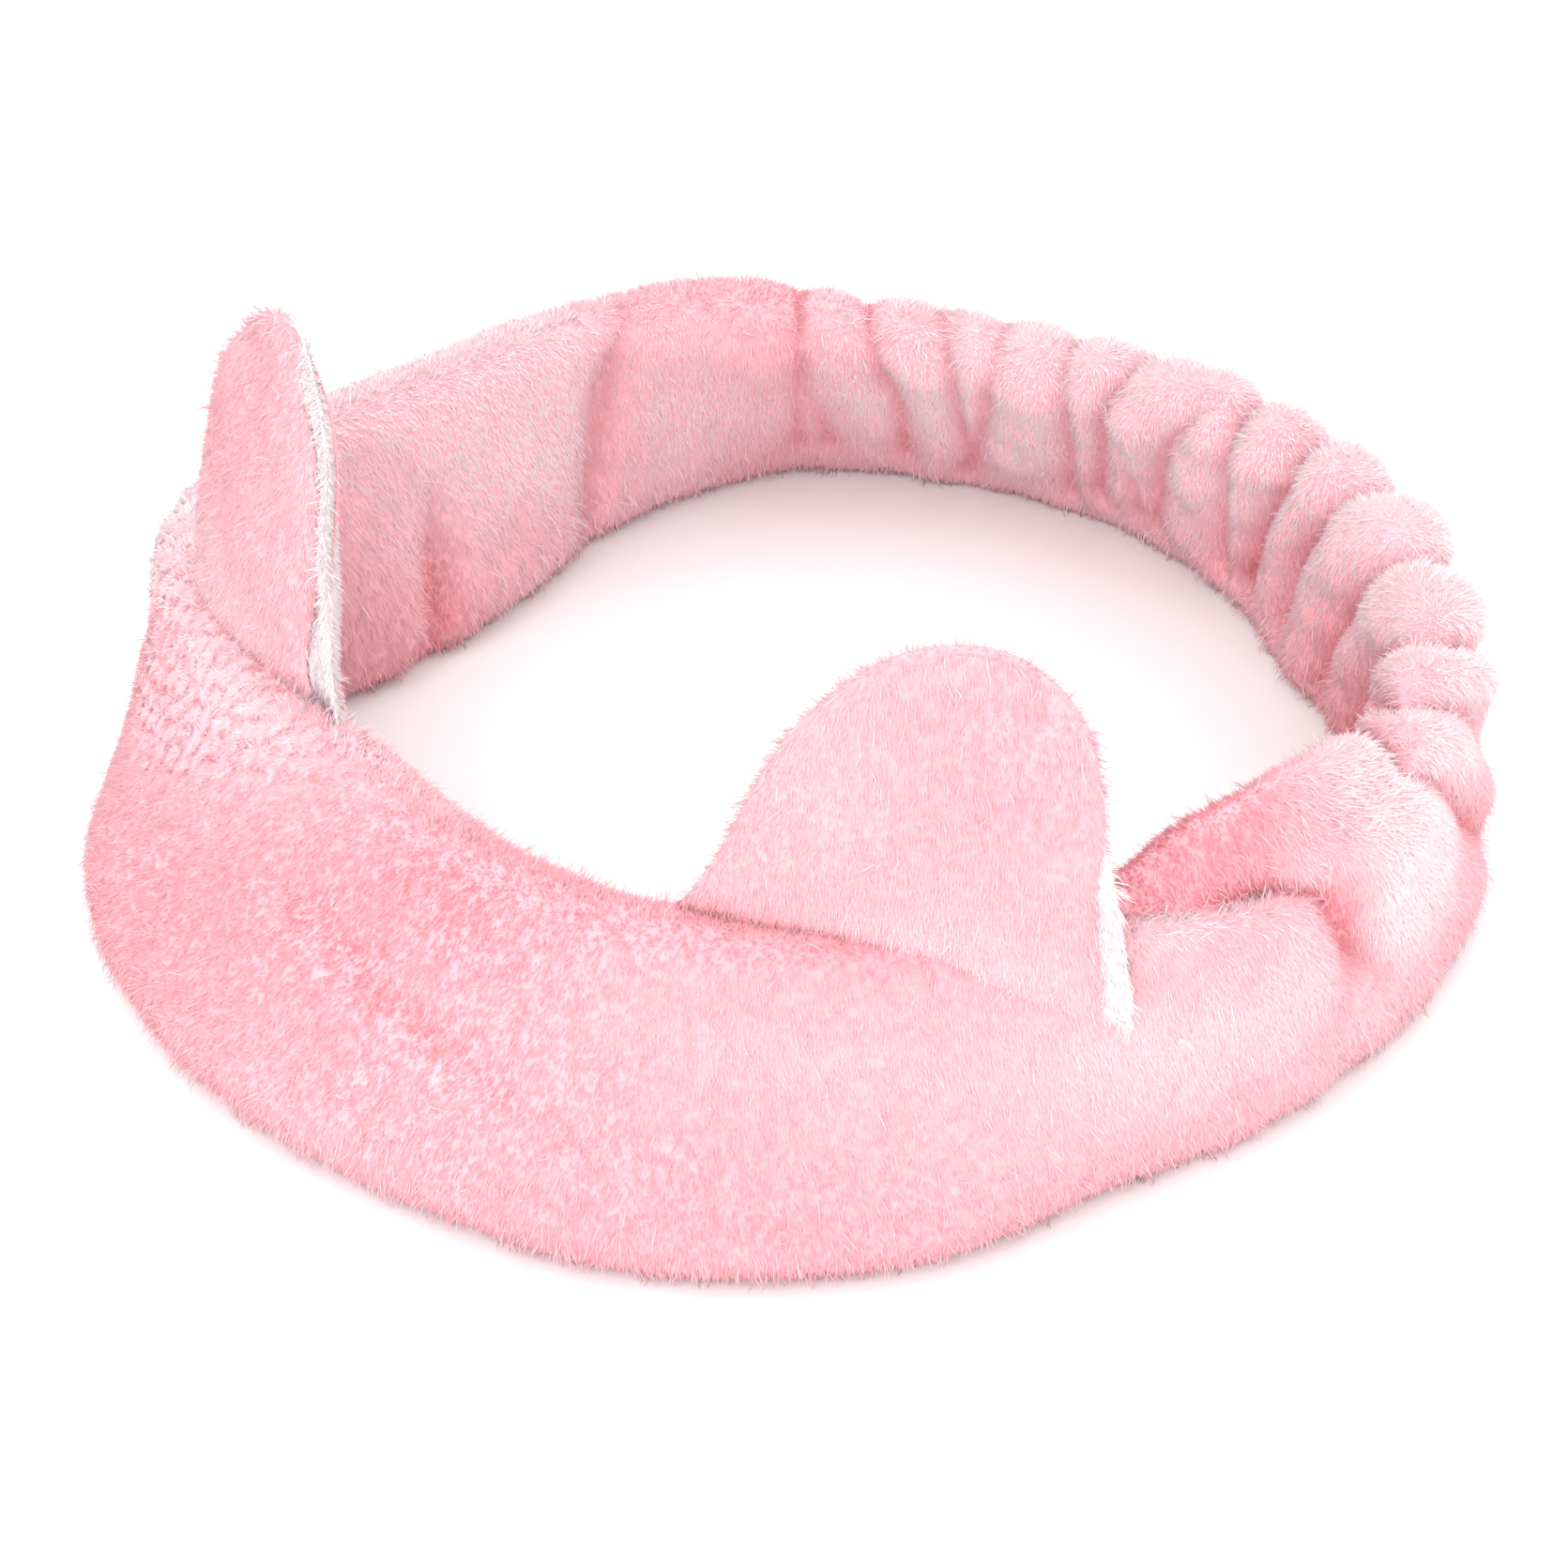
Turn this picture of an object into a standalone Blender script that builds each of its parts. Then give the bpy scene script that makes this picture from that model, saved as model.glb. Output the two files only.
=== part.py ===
"""Spa headband: a padded plush loop, gathered on an elastic strip at the back, with two round ears sewn on top.

Metres, +Z up. The loop stands on its lower edge on the plane z = 0, the forehead is at -Y, and the
origin is the middle of its footprint. Angles run round the loop from the forehead, positive towards +X.
Sizes at the top are in millimetres, and MM turns them into metres.
"""

import math

import bmesh
import bpy
from mathutils import Vector

MM = 0.001

# Stations round the loop: angle in degrees, the radii of the middles of the band's lower and upper round
# edges, the height of its top, and how far the upper seam has rolled from the top towards the outer face.
STATIONS = (
    (-160, 83.5, 68.0, 38.0, 0.0),
    (-143, 84.0, 69.0, 39.0, 0.0),
    (-123, 75.5, 72.5, 40.0, 0.0),
    (-100, 66.0, 72.5, 40.0, 0.0),
    (-80, 68.0, 78.5, 40.0, 1.0),
    (-62, 84.0, 84.0, 41.0, 4.0),
    (-43, 94.0, 79.5, 41.0, 3.0),
    (-22, 96.0, 74.0, 41.0, 0.0),
    (0, 94.5, 75.0, 40.0, 0.0),
    (22, 94.5, 78.0, 40.0, 0.0),
    (43, 91.5, 80.0, 41.0, 5.5),
    (61, 84.5, 84.5, 41.0, 15.0),
    (78, 84.0, 85.5, 40.0, 9.0),
    (98, 85.5, 83.0, 39.0, 0.0),
    (116, 84.5, 82.5, 38.0, 0.0),
    (140, 80.0, 79.0, 37.5, 0.0),
    (165, 82.5, 73.0, 38.0, 0.0),
    (182, 84.5, 69.0, 38.0, 0.0),
)

# The stations are measured from a point beside the middle of the footprint.
CENTRE = Vector((-4.58, 4.72, 0.0))

# The plush band is the padded part, and the sleeve is the gathered part round the elastic.
BAND_START, BAND_END = -143.0, 90.0
SLEEVE_START, SLEEVE_END = BAND_END, BAND_START + 360.0
JOIN_GAP = 1.6

BAND_THICKNESS = 14.0
CLOTH = 2.0
SEAM_GAP = 1.7
LOWER_SEAM = 9.5
FOOT_FLAT = 0.7
FOAM_THICKNESS = 4.6
FOAM_EDGE = 5.0

SLEEVE_THICKNESS = 14.0
PUFF_HEIGHT = 1.6
PUFF_COUNT = 13
ELASTIC_WIDTH, ELASTIC_THICKNESS = 20.0, 1.4

THREAD_RADIUS = 0.35
CLEARANCE = 0.45
SEAM_TURNING = 0.5

# Each ear is sewn on along the upper seam, so its base follows the band. Leaning tips it forwards from the
# seam, and splaying tips it towards the back of the head, each as a share of its height. Straightening
# takes the seam's curve out of the ear by its tip.
EAR_MIDDLE = 39.5
EAR_HEIGHT, EAR_HALF_WIDTH = 39.5, 26.0
EAR_LEAN = {"left": -0.14, "right": -0.02}
EAR_SPLAY = {"left": 0.03, "right": 0.17}
EAR_STRAIGHTENING = 0.85
EAR_TAPER = 0.25
EAR_ARCH_POWER = 0.625
EAR_CLOTH = 1.2
EAR_BASE_HALF, EAR_MIDDLE_HALF = 1.5, 5.2
EAR_LIFT = 1.6
EAR_STAND_OFF = 2.4
EAR_PAD_THICKNESS = 2.4
EAR_PAD_SCALE, EAR_PAD_RISE = 0.60, 0.19
EAR_SEAM_GAP = 1.4
EAR_SEAM_INSET = 2.8

PINK = (0.93, 0.56, 0.60)
WHITE = (0.90, 0.85, 0.86)


def clear_scene():
    for obj in list(bpy.data.objects):
        bpy.data.objects.remove(obj)


def cloth_material(name, colour, roughness=0.95):
    material = bpy.data.materials.new(name)
    material.use_nodes = True
    shader = material.node_tree.nodes["Principled BSDF"]
    shader.inputs["Base Color"].default_value = (*colour, 1.0)
    shader.inputs["Roughness"].default_value = roughness
    shader.inputs["Metallic"].default_value = 0.0
    return material


# --- the loop -----------------------------------------------------------------------------------


def loop_at(angle):
    """(lower radius, upper radius, height, seam roll) in millimetres, smooth through the stations."""
    angle = (angle - STATIONS[0][0]) % 360.0 + STATIONS[0][0]
    count = len(STATIONS)
    after = next((i for i, s in enumerate(STATIONS) if s[0] > angle), count)
    around = []
    for step in (-2, -1, 0, 1):
        turn, index = divmod(after + step, count)
        station = STATIONS[index]
        around.append((station[0] + 360.0 * turn, *station[1:]))
    (a0, *v0), (a1, *v1), (a2, *v2), (a3, *v3) = around
    t = (angle - a1) / (a2 - a1)
    values = []
    for p0, p1, p2, p3 in zip(v0, v1, v2, v3):
        slope_in = (p2 - p0) / (a2 - a0) * (a2 - a1)
        slope_out = (p3 - p1) / (a3 - a1) * (a2 - a1)
        values.append(
            (2 * t**3 - 3 * t**2 + 1) * p1
            + (t**3 - 2 * t**2 + t) * slope_in
            + (3 * t**2 - 2 * t**3) * p2
            + (t**3 - t**2) * slope_out
        )
    return values


def section_at(angle):
    """The band's section at an angle: its middle, the unit vectors up and out of it, and its width, in mm."""
    foot_radius, crest_radius, crest_height, _ = loop_at(angle)
    radial = Vector((math.sin(math.radians(angle)), -math.cos(math.radians(angle)), 0.0))
    half = BAND_THICKNESS / 2
    foot = CENTRE + radial * foot_radius + Vector((0.0, 0.0, half - FOOT_FLAT))
    crest = CENTRE + radial * crest_radius + Vector((0.0, 0.0, crest_height - half))
    up = (crest - foot).normalized()
    out = Vector((radial.x * up.z, radial.y * up.z, -radial.dot(up)))
    return (foot + crest) / 2, up, out, (crest - foot).length + 2 * half


def rim_point(along, half_width, half_thickness):
    """(out, up) of a point on the section's rim, that far from its lowest point up the outer side."""
    along %= rim_length(half_width, half_thickness)
    quarter = math.pi / 2 * half_thickness
    straight = half_width - half_thickness
    half_rim = 2 * (quarter + straight)
    side = 1.0 if along <= half_rim else -1.0
    along = along if side > 0 else 2 * half_rim - along
    if along < quarter:
        turn = along / half_thickness
        return side * half_thickness * math.sin(turn), -straight - half_thickness * math.cos(turn)
    if along > quarter + 2 * straight:
        turn = (half_rim - along) / half_thickness
        return side * half_thickness * math.sin(turn), straight + half_thickness * math.cos(turn)
    return side * half_thickness, along - quarter - straight


def rim_length(half_width, half_thickness):
    return 2 * math.pi * half_thickness + 4 * (half_width - half_thickness)


def on_section(angle, out_by, up_by):
    middle, up, out, _ = section_at(angle)
    point = middle + out * out_by + up * up_by
    # The plush is pressed flat where it stands.
    point.z = max(point.z, 0.0)
    return point * MM


def end_angle(angle, gap):
    """The change of angle that leaves a gap of that many millimetres along the loop."""
    return math.degrees(gap / loop_at(angle)[1])


# --- building blocks ----------------------------------------------------------------------------


def mapped_grid(name, across, along, place, material, weld=False):
    """A grid primitive whose corners, each 0 to 1 both ways, are moved to where place(u, v) says."""
    mesh = bpy.data.meshes.new(name)
    grid = bmesh.new()
    bmesh.ops.create_grid(grid, x_segments=across, y_segments=along, size=0.5)
    for vertex in grid.verts:
        vertex.co = place(vertex.co.x + 0.5, vertex.co.y + 0.5)
    if weld:
        bmesh.ops.remove_doubles(grid, verts=grid.verts, dist=1e-6)
    grid.to_mesh(mesh)
    grid.free()
    mesh.materials.append(material)
    mesh.shade_smooth()
    obj = bpy.data.objects.new(name, mesh)
    HEADBAND.objects.link(obj)
    return obj


def thicken(obj, thickness, offset):
    solidify = obj.modifiers.new("cloth", "SOLIDIFY")
    solidify.thickness = thickness * MM
    solidify.offset = offset
    return obj


def thread(name, points, material, closed=False):
    """A sewing thread along the points, in metres."""
    curve = bpy.data.curves.new(name, "CURVE")
    curve.dimensions = "3D"
    spline = curve.splines.new("POLY")
    spline.points.add(len(points) - 1)
    for spot, point in zip(spline.points, points):
        spot.co = (*point, 1.0)
    spline.use_cyclic_u = closed
    curve.bevel_depth = THREAD_RADIUS * MM
    curve.bevel_resolution = 1
    curve.use_fill_caps = True
    curve.materials.append(material)
    obj = bpy.data.objects.new(name, curve)
    HEADBAND.objects.link(obj)
    return obj


# --- the padded band ----------------------------------------------------------------------------


def band_angle(u, gap=0.0):
    start = BAND_START + end_angle(BAND_START, JOIN_GAP / 2 + gap)
    end = BAND_END - end_angle(BAND_END, JOIN_GAP / 2 + gap)
    return start + (end - start) * u


def band_panel(name, side, material):
    """One plush face of the band. side is 1 for the outer face and -1 for the lining."""

    def place(u, v):
        angle = band_angle(u)
        half_width = section_at(angle)[3] / 2
        rim = rim_length(half_width, BAND_THICKNESS / 2)
        seam = rim / 2 - loop_at(angle)[3]
        first, last = (LOWER_SEAM, seam) if side > 0 else (seam, rim + LOWER_SEAM)
        along = first + SEAM_GAP / 2 + (last - first - SEAM_GAP) * v
        return on_section(angle, *rim_point(along, half_width, BAND_THICKNESS / 2))

    return thicken(mapped_grid(name, 56, 14, place, material), CLOTH, -1.0)


def band_foam(material):
    def place(u, v):
        angle = band_angle(u, gap=2.0)
        half = section_at(angle)[3] / 2 - FOAM_EDGE
        return on_section(angle, 0.0, half * (2 * v - 1))

    foam = thicken(mapped_grid("foam_pad", 56, 3, place, material), FOAM_THICKNESS, 0.0)
    soften = foam.modifiers.new("cut_edge", "BEVEL")
    soften.width = 1.0 * MM
    soften.segments = 1
    soften.limit_method = "ANGLE"
    return foam


def band_seam(name, side, material):
    """The thread inside the upper (side 1) or lower (side -1) seam of the two plush faces."""
    inset = CLOTH + CLEARANCE + THREAD_RADIUS + SEAM_TURNING
    points = []
    for i in range(65):
        angle = band_angle(i / 64, gap=1.0)
        half_width = section_at(angle)[3] / 2 - inset
        half_thickness = BAND_THICKNESS / 2 - inset
        rim = rim_length(half_width, half_thickness)
        shrink = rim / rim_length(half_width + inset, BAND_THICKNESS / 2)
        along = rim / 2 - loop_at(angle)[3] * shrink if side > 0 else LOWER_SEAM * shrink
        points.append(on_section(angle, *rim_point(along, half_width, half_thickness)))
    return thread(name, points, material)


# --- the gathered back --------------------------------------------------------------------------


def sleeve_angle(u, gap=0.0):
    start = SLEEVE_START + end_angle(SLEEVE_START, JOIN_GAP / 2 + gap)
    end = SLEEVE_END - end_angle(SLEEVE_END, JOIN_GAP / 2 + gap)
    return start + (end - start) * u


def sleeve(material):
    """The plush tube, gathered into puffs by the strip inside it."""

    def place(u, v):
        angle = sleeve_angle(u)
        half_width = section_at(angle)[3] / 2
        rim = rim_length(half_width, SLEEVE_THICKNESS / 2)
        out_by, up_by = rim_point(rim * v, half_width, SLEEVE_THICKNESS / 2)
        puff = PUFF_HEIGHT * math.sin(math.pi * PUFF_COUNT * u) ** 2
        return on_section(angle, out_by * (1 + puff / SLEEVE_THICKNESS * 2), up_by)

    tube = mapped_grid("elastic_sleeve", 65, 20, place, material, weld=True)
    return thicken(tube, CLOTH, -1.0)


def elastic_strip(material):
    def place(u, v):
        return on_section(sleeve_angle(u, gap=0.6), 0.0, ELASTIC_WIDTH * (v - 0.5))

    strip = mapped_grid("elastic_strip", 48, 2, place, material)
    return thicken(strip, ELASTIC_THICKNESS, 0.0)


def join_thread(name, angle, material):
    """The ring of thread that sews the sleeve's end to the band's end, in the groove between them."""
    half_width = section_at(angle)[3] / 2 - CLOTH / 2
    half_thickness = (BAND_THICKNESS - CLOTH) / 2
    rim = rim_length(half_width, half_thickness)
    points = [on_section(angle, *rim_point(rim * i / 32, half_width, half_thickness)) for i in range(32)]
    return thread(name, points, material, closed=True)


# --- the ears -----------------------------------------------------------------------------------


def ear_seam(side, x):
    """(point, normal) on the upper seam, x millimetres along an ear's base, in millimetres."""
    sign = 1 if side == "right" else -1
    reach = math.degrees(x / loop_at(sign * EAR_MIDDLE)[1])
    angle = sign * (EAR_MIDDLE + reach)
    middle, up, out, width = section_at(angle)
    half = BAND_THICKNESS / 2
    along = rim_length(width / 2, half) / 2 - loop_at(angle)[3]
    on_rim = rim_point(along, width / 2, half)
    point = middle + out * on_rim[0] + up * on_rim[1]
    end = max(-1.0, min(1.0, on_rim[0] / half))
    normal = (out * end + up * math.sqrt(1.0 - end * end)).normalized()
    return point, normal


def ear_axes(side):
    """The unit vectors along an ear's base towards the back of the head, out of its front, and up it."""
    near, far = ear_seam(side, -EAR_HALF_WIDTH)[0], ear_seam(side, EAR_HALF_WIDTH)[0]
    along = (far - near).normalized()
    front = (near + far) / 2 - CENTRE
    front.z = 0.0
    front = (front - along * front.dot(along)).normalized()
    up = Vector((0.0, 0.0, 1.0)) + front * EAR_LEAN[side] + along * EAR_SPLAY[side]
    return along, front, up.normalized()


def ear_thread_point(side, x):
    point, normal = ear_seam(side, x)
    return point + normal * (THREAD_RADIUS + CLEARANCE)


def ear_origin(side):
    """The front of an ear's curved base, which its hinge line passes through, in millimetres."""
    return ear_thread_point(side, 0.0)


def ear_point(side, x, y, z):
    """Where a point of the flat ear pattern goes: x along the base, y out of the front, z up, in millimetres."""
    _, ahead_of_ear, up = ear_axes(side)
    point, normal = ear_seam(side, x)
    ahead, behind = ear_seam(side, x + 1.0)[0], ear_seam(side, x - 1.0)[0]
    front = (ahead - behind).cross(up).normalized()
    if front.dot(ahead_of_ear) < 0.0:
        front.negate()
    stand_off = THREAD_RADIUS + CLEARANCE + EAR_STAND_OFF * (1.0 - normal.z)
    near, far = ear_seam(side, -EAR_HALF_WIDTH)[0], ear_seam(side, EAR_HALF_WIDTH)[0]
    straight = near.lerp(far, (x / EAR_HALF_WIDTH + 1.0) / 2)
    straight.z = point.z
    point = point.lerp(straight, min(1.0, z / EAR_HEIGHT) * EAR_STRAIGHTENING)
    return point + normal * stand_off + up * z + front * y


def arch(turn):
    """A point (x, z) on the ear's outline, in shares of its half width and height. turn is 0 to 1."""
    angle = math.pi * turn
    height = max(0.0, math.sin(angle)) ** EAR_ARCH_POWER
    return math.cos(angle) * (1 - EAR_TAPER * height), height


def ear_half_thickness(height):
    rise = min(1.0, max(0.0, height / 0.45))
    rise = rise * rise * (3 - 2 * rise)
    return EAR_BASE_HALF + (EAR_MIDDLE_HALF - EAR_BASE_HALF) * rise


def ear_place(turn, reach, scale=1.0, rise=0.0):
    """(x, z) in millimetres of a point reach of the way from the ear's base to its outline."""
    x, height = arch(turn)
    return (
        x * reach * scale * EAR_HALF_WIDTH,
        (height * reach * scale + rise) * EAR_HEIGHT + EAR_LIFT,
    )


def ear_sheet(name, side, across, along, flat, material):
    """A sheet of an ear, from flat(u, v) on its pattern, with its origin on the hinge line."""
    origin = ear_origin(side)

    def place(u, v):
        return (ear_point(side, *flat(u, v)) - origin) * MM

    sheet = mapped_grid(name, across, along, place, material, weld=True)
    sheet.location = origin * MM
    return sheet


def ear_panel(side, face, sign, material):
    """One cloth face of an ear, domed over the wadding. sign is 1 for the front and -1 for the back."""
    turned = sign if side == "left" else -sign

    def flat(u, v):
        x, z = ear_place(u if turned > 0 else 1 - u, math.sin(v * math.pi / 2) ** 0.75)
        dome = ear_half_thickness((z - EAR_LIFT) / EAR_HEIGHT) * math.cos(v * math.pi / 2)
        return x, sign * (EAR_SEAM_GAP / 2 + dome), z

    return thicken(ear_sheet(f"{side}_ear_{face}", side, 18, 8, flat, material), EAR_CLOTH, -1.0)


def ear_wadding(side, material):
    def flat(u, v):
        x, z = ear_place(u, v, EAR_PAD_SCALE, EAR_PAD_RISE)
        return x, 0.0, z

    return thicken(ear_sheet(f"{side}_ear_wadding", side, 18, 4, flat, material), EAR_PAD_THICKNESS, 0.0)


def ear_threads(side, material):
    """The thread round the ear's edge seam, and the one that sews its base to the band."""
    edge = []
    for i in range(6, 43):
        x, z = ear_place(i / 48, 1.0 - EAR_SEAM_INSET / EAR_HALF_WIDTH)
        edge.append(ear_point(side, x, 0.0, z) * MM)
    thread(f"{side}_ear_edge_thread", edge, material)
    base = [ear_thread_point(side, EAR_HALF_WIDTH * (i / 8 - 1)) * MM for i in range(17)]
    thread(f"{side}_ear_base_thread", base, material)


# --- the assembly -------------------------------------------------------------------------------

clear_scene()
HEADBAND = bpy.data.collections.new("spa_headband")
bpy.context.scene.collection.children.link(HEADBAND)

pink_plush = cloth_material("pink_plush", PINK)
white_plush = cloth_material("white_plush", WHITE)
foam_sheet = cloth_material("foam", (0.92, 0.90, 0.84), roughness=0.9)
woven_elastic = cloth_material("elastic", (0.88, 0.88, 0.88), roughness=0.8)
pink_thread = cloth_material("thread", (0.90, 0.50, 0.55), roughness=0.7)

band_panel("outer_panel", 1, pink_plush)
band_panel("lining_panel", -1, pink_plush)
band_foam(foam_sheet)
band_seam("top_seam_thread", 1, pink_thread)
band_seam("bottom_seam_thread", -1, pink_thread)

sleeve(pink_plush)
elastic_strip(woven_elastic)
join_thread("right_join_thread", BAND_END, pink_thread)
join_thread("left_join_thread", BAND_START, pink_thread)

for ear_side in ("left", "right"):
    ear_panel(ear_side, "front", 1, pink_plush)
    ear_panel(ear_side, "back", -1, white_plush)
    ear_wadding(ear_side, foam_sheet)
    ear_threads(ear_side, pink_thread)
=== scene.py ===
"""Looks of the spa headband: plush cloth with pile, gathers, a fold and creases, over the frame."""

import math

import bmesh
import bpy
import numpy as np
from mathutils import Matrix, Vector


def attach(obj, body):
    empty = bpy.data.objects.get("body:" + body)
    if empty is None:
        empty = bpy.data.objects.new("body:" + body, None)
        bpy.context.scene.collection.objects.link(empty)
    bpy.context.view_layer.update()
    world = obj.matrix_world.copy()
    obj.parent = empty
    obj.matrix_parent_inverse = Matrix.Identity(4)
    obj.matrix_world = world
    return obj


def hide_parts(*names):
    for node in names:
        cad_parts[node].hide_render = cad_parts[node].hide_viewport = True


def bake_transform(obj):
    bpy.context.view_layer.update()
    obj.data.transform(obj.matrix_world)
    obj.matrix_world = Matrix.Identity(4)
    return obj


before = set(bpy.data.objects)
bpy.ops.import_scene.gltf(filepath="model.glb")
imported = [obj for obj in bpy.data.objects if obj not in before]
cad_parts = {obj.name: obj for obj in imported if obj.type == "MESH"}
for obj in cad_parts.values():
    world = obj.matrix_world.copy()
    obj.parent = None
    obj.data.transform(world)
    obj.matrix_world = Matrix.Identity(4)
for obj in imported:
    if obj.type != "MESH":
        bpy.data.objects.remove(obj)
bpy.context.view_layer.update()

MM = 0.001

# The loop as the frame has it. Angle in degrees, then in millimetres the radii of the middles of the
# band's lower and upper round edges, its height, and the roll of the upper seam.
STATIONS = np.array(
    (
        (-160, 83.5, 68.0, 38.0, 0.0),
        (-143, 84.0, 69.0, 39.0, 0.0),
        (-123, 75.5, 72.5, 40.0, 0.0),
        (-100, 66.0, 72.5, 40.0, 0.0),
        (-80, 68.0, 78.5, 40.0, 1.0),
        (-62, 84.0, 84.0, 41.0, 4.0),
        (-43, 94.0, 79.5, 41.0, 3.0),
        (-22, 96.0, 74.0, 41.0, 0.0),
        (0, 94.5, 75.0, 40.0, 0.0),
        (22, 94.5, 78.0, 40.0, 0.0),
        (43, 91.5, 80.0, 41.0, 5.5),
        (61, 84.5, 84.5, 41.0, 15.0),
        (78, 84.0, 85.5, 40.0, 9.0),
        (98, 85.5, 83.0, 39.0, 0.0),
        (116, 84.5, 82.5, 38.0, 0.0),
        (140, 80.0, 79.0, 37.5, 0.0),
        (165, 82.5, 73.0, 38.0, 0.0),
        (182, 84.5, 69.0, 38.0, 0.0),
    )
)
CENTRE = np.array((-4.58, 4.72, 0.0))
HALF = 7.0
FOOT_FLAT = 0.7
BAND_START, BAND_END = -143.0, 90.0
LOOP_RADIUS = 84.0

# The cloth under the pile lies this far inside the frame's surface.
CLOTH_INSET = 0.9

# Creases of the gathered half and of the fold. Each is a run of angle, distance from the top of the band
# (positive down the outer face, negative down the inner one) and strength from 0 to 1.
GATHERS = (
    ((55, -0.5, 0.2), (67, 0.8, 0.7), (73, 2.0, 1.0), (77, 6.5, 1.0), (80.5, 18, 1.0), (88, 33, 0.1)),
    ((112, -38, 0.5), (106, -22, 0.7), (98, -8, 0.9), (93, 4, 0.9), (102, 20, 0.8), (112, 36, 0.4)),
    ((126, -37, 0.8), (118, -25, 0.9), (101, -2, 0.9), (105, 6, 0.8), (113, 22, 0.7), (120, 40, 0.6)),
    ((129, -36, 0.9), (124, -23, 1.0), (113, -6, 1.0), (113, 2, 0.9), (119, 16, 0.8), (127, 40, 0.7)),
    ((138, -36, 0.9), (134, -23, 1.0), (128, -10, 1.0), (127, 2, 0.9), (130, 16, 0.8), (136, 40, 0.7)),
    ((135, -36, 0.6), (132, -16, 0.1)),
    ((148, -33, 0.8), (145, -20, 1.0), (140, -10, 1.0), (139, 2, 0.9), (141, 18, 0.8), (146, 40, 0.7)),
    ((157, -34, 0.9), (153, -22, 1.0), (148, -9, 1.0), (149, 2, 0.9), (151, 18, 0.8), (156, 40, 0.7)),
    ((161, -34, 0.6), (158, -19, 0.7), (157, -8, 0.9), (158, 2, 0.9), (160, 18, 0.8), (164, 40, 0.7)),
    ((172, -34, 0.7), (168, -18, 0.8), (165, -10, 0.9), (162, -3, 0.6), (159, 1, 0.3)),
    ((174, -34, 0.6), (173, -13, 0.2)),
    ((180, -34, 0.9), (176, -16, 1.0), (174, -4, 0.9), (173, 2, 0.7), (171, 20, 0.8), (173, 40, 0.6)),
    ((184, -36, 0.7), (180, -10, 0.9), (181, 1, 0.5), (183, 20, 0.8), (182, 40, 0.6)),
    ((197, -38, 0.9), (191, -11, 0.9), (190, -2, 0.4), (192, 18, 0.7), (190, 40, 0.5)),
    ((196, -36, 0.9), (196, -8, 0.8), (198, 3, 0.6), (201, 20, 0.8), (199, 40, 0.6)),
    ((204, -36, 0.9), (204, -20, 0.9), (208, 2, 0.8), (209, 20, 0.8), (208, 40, 0.6)),
    ((213, -34, 0.8), (217, -10, 0.2)),
    ((216.6, -34, 0.6), (216.6, 0, 0.7), (216.6, 40, 0.8)),
)
CREASE_WIDE, CREASE_SHARP = 3.6, 1.3
# How fat the cloth lies between creases: angle and millimetres.
FATNESS = (
    ((56, 0.0), (68, 2.8), (84, 3.8), (98, 3.4), (112, 3.9))
    + ((150, 3.6), (170, 2.6), (186, 2.0), (217, 1.6), (234, 0.0))
)
# Soft hollows of the inner wall and faint folds of the front, as paths like those of GATHERS.
DENTS = (
    ((-122.0, -1.0, 0.3), (-117.5, -17.0, 1.0), (-114.0, -40.0, 0.7)),
    ((-90.0, -18.0, 0.1), (-86.5, -31.0, 1.0), (-82.0, -46.0, 0.9)),
    ((-18.0, 19.0, 0.0), (-6.0, 25.0, 0.4), (7.0, 30.0, 0.4), (17.0, 33.0, 0.0)),
    ((-60.0, 22.0, 0.0), (-50.0, 15.0, 0.3), (-36.0, 13.0, 0.0)),
)
DENT_DEPTH, DENT_WIDE = 2.6, 4.2
DENT_LINE_DEPTH, DENT_LINE_WIDE = 0.8, 1.6
DEEPEST_RELIEF = -3.2
FOLD_RISE = 8.4
# Nothing hangs through the floor: the lowest the cloth and its pile may lie.
LOWEST_CLOTH, LOWEST_PILE = 0.25, 0.03

# The ears' flat pattern and how they stand: leaning as in the frame, with their bases nearer the
# cloth.
EAR_MIDDLE = 39.5
EAR_HEIGHT, EAR_HALF_WIDTH = 39.5, 26.0
EAR_LEAN = {"left": -0.14, "right": -0.02}
EAR_SPLAY = {"left": 0.03, "right": 0.17}
EAR_STRAIGHTENING = 0.85
EAR_STAND_OFF = 0.6
SEAM_STAND_OFF = -0.7

rng = np.random.default_rng(7)


# --- the loop's surface, in millimetres ----------------------------------------------------------


def loop_at(angle):
    """Lower radius, upper radius, height and seam roll at each angle, smooth through the stations."""
    angle = np.asarray(angle, float)
    first = STATIONS[0, 0]
    turned = (angle - first) % 360.0 + first
    before, after = STATIONS[-2:].copy(), STATIONS[:3].copy()
    before[:, 0] -= 360.0
    after[:, 0] += 360.0
    table = np.vstack((before, STATIONS, after))
    i = np.searchsorted(table[:, 0], turned, side="right") - 1
    p0, p1, p2, p3 = table[i - 1], table[i], table[i + 1], table[i + 2]
    span = (p2[..., 0] - p1[..., 0])[..., None]
    t = ((turned - p1[..., 0]) / span[..., 0])[..., None]
    slope_in = (p2 - p0) / (p2[..., :1] - p0[..., :1]) * span
    slope_out = (p3 - p1) / (p3[..., :1] - p1[..., :1]) * span
    value = (
        (2 * t**3 - 3 * t**2 + 1) * p1
        + (t**3 - 2 * t**2 + t) * slope_in
        + (3 * t**2 - 2 * t**3) * p2
        + (t**3 - t**2) * slope_out
    )
    return value[..., 1], value[..., 2], value[..., 3], value[..., 4]


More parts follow.
